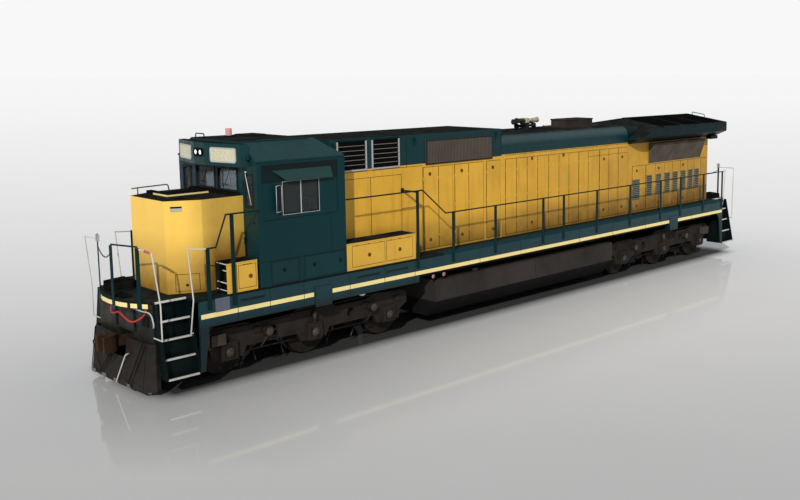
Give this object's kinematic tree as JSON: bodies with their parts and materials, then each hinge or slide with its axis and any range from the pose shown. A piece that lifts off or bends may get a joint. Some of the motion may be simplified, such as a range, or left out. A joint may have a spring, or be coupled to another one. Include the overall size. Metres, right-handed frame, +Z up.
{
  "type": "diesel locomotive",
  "caption": "Six-axle diesel road locomotive with a wide cab, long hood, flared radiators and turning bogies.",
  "frame": {"origin": "midway along, on the centre line, on the floor under the wheel flanges", "axes": "+X towards the cab end, +Y to the left side, +Z up"},
  "size_m": [21.54, 3.18, 4.8498],
  "materials": {
    "axle_boxes_front": "cast, matt",
    "axle_boxes_rear": "cast, matt",
    "beacon": "dusty",
    "bogie_frame_front": "cast, matt paint",
    "bogie_frame_rear": "cast, matt paint",
    "cab_ends": "satin",
    "cab_floor": "matt",
    "cab_glass": "polished",
    "cab_roof": "satin",
    "cab_seats": "matt",
    "cab_sides": "satin",
    "centre_sill": "matt",
    "coupler_front": "rusty casting",
    "coupler_rear": "rusty casting",
    "cross_bearers": "matt",
    "deck": "anti-slip paint",
    "end_plates": "satin",
    "engine_block": "matt",
    "engine_hood": "satin",
    "equipment_hood": "satin",
    "exhaust_stack": "matt",
    "front_cab_door": "satin",
    "front_door_glass": "polished",
    "fuel_tank": "matt",
    "grab_rails": "satin",
    "handrail_posts": "satin",
    "handrails": "satin",
    "headlamps": "polished",
    "hood_doors": "satin",
    "horn": "dull",
    "louvres": "matt",
    "nose": "satin",
    "number_boards": "matt",
    "radiator_hood": "satin",
    "radiator_screens": "matt",
    "radiator_wings": "satin",
    "rear_cab_door": "satin",
    "rear_door_glass": "polished",
    "side_sills": "satin",
    "snow_plough": "matt",
    "steps": "matt",
    "traction_motors_front": "cast, matt",
    "traction_motors_rear": "cast, matt",
    "walkway_boxes": "satin",
    "wheelset_1": "rolled steel, dusty",
    "wheelset_2": "rolled steel, dusty",
    "wheelset_3": "rolled steel, dusty",
    "wheelset_4": "rolled steel, dusty",
    "wheelset_5": "rolled steel, dusty",
    "wheelset_6": "rolled steel, dusty",
    "window_fittings": "satin"
  },
  "bodies": {
    "carbody": {"beacon": "beacon", "cab_ends": "cab_ends", "cab_floor": "cab_floor", "cab_glass": "cab_glass", "cab_roof": "cab_roof", "cab_seats": "cab_seats", "cab_sides": "cab_sides", "centre_sill": "centre_sill", "cross_bearers": "cross_bearers", "deck": "deck", "end_plates": "end_plates", "engine_block": "engine_block", "engine_hood": "engine_hood", "equipment_hood": "equipment_hood", "exhaust_stack": "exhaust_stack", "fuel_tank": "fuel_tank", "grab_rails": "grab_rails", "handrail_posts": "handrail_posts", "handrails": "handrails", "headlamps": "headlamps", "hood_doors": "hood_doors", "horn": "horn", "louvres": "louvres", "nose": "nose", "number_boards": "number_boards", "radiator_hood": "radiator_hood", "radiator_screens": "radiator_screens", "radiator_wings": "radiator_wings", "side_sills": "side_sills", "snow_plough": "snow_plough", "steps": "steps", "walkway_boxes": "walkway_boxes", "window_fittings": "window_fittings"},
    "bogie_front": {"bogie_frame_front": "bogie_frame_front", "traction_motors_front": "traction_motors_front", "axle_boxes_front": "axle_boxes_front"},
    "bogie_rear": {"bogie_frame_rear": "bogie_frame_rear", "traction_motors_rear": "traction_motors_rear", "axle_boxes_rear": "axle_boxes_rear"},
    "front_door": {"front_cab_door": "front_cab_door", "front_door_glass": "front_door_glass"},
    "rear_door": {"rear_cab_door": "rear_cab_door", "rear_door_glass": "rear_door_glass"},
    "coupler_front": {"coupler_front": "coupler_front"},
    "coupler_rear": {"coupler_rear": "coupler_rear"},
    "wheelset_1": {"wheelset_1": "wheelset_1"},
    "wheelset_2": {"wheelset_2": "wheelset_2"},
    "wheelset_3": {"wheelset_3": "wheelset_3"},
    "wheelset_4": {"wheelset_4": "wheelset_4"},
    "wheelset_5": {"wheelset_5": "wheelset_5"},
    "wheelset_6": {"wheelset_6": "wheelset_6"}
  },
  "joints": [
    {"name": "front_bogie_yaw", "type": "hinge", "parent": "carbody", "child": "bogie_front", "pos_m": [6.6, 0, 1.095], "axis": [0, 0, 1], "range_deg": [-5, 5]},
    {"name": "rear_bogie_yaw", "type": "hinge", "parent": "carbody", "child": "bogie_rear", "pos_m": [-6.6, 0, 1.095], "axis": [0, 0, 1], "range_deg": [-5, 5]},
    {"name": "axle_1_spin", "type": "hinge", "parent": "bogie_front", "child": "wheelset_1", "pos_m": [8.67, 0, 0.536], "axis": [0, 1, 0], "continuous": true},
    {"name": "axle_2_spin", "type": "hinge", "parent": "bogie_front", "child": "wheelset_2", "pos_m": [6.6, 0, 0.536], "axis": [0, 1, 0], "continuous": true},
    {"name": "axle_3_spin", "type": "hinge", "parent": "bogie_front", "child": "wheelset_3", "pos_m": [4.53, 0, 0.536], "axis": [0, 1, 0], "continuous": true},
    {"name": "axle_4_spin", "type": "hinge", "parent": "bogie_rear", "child": "wheelset_4", "pos_m": [-4.53, 0, 0.536], "axis": [0, 1, 0], "continuous": true},
    {"name": "axle_5_spin", "type": "hinge", "parent": "bogie_rear", "child": "wheelset_5", "pos_m": [-6.6, 0, 0.536], "axis": [0, 1, 0], "continuous": true},
    {"name": "axle_6_spin", "type": "hinge", "parent": "bogie_rear", "child": "wheelset_6", "pos_m": [-8.67, 0, 0.536], "axis": [0, 1, 0], "continuous": true},
    {"name": "front_cab_door_hinge", "type": "hinge", "parent": "carbody", "child": "front_door", "pos_m": [8.14, 1.013, 3.27], "axis": [0, 0, -1], "range_deg": [0, 90]},
    {"name": "rear_cab_door_hinge", "type": "hinge", "parent": "carbody", "child": "rear_door", "pos_m": [5.95, -1.033, 3.27], "axis": [0, 0, -1], "range_deg": [0, 90]},
    {"name": "front_coupler_swing", "type": "hinge", "parent": "carbody", "child": "coupler_front", "pos_m": [9.8, 0, 0.905], "axis": [0, 0, 1], "range_deg": [-7, 7]},
    {"name": "rear_coupler_swing", "type": "hinge", "parent": "carbody", "child": "coupler_rear", "pos_m": [-9.8, 0, 0.905], "axis": [0, 0, 1], "range_deg": [-7, 7]}
  ]
}
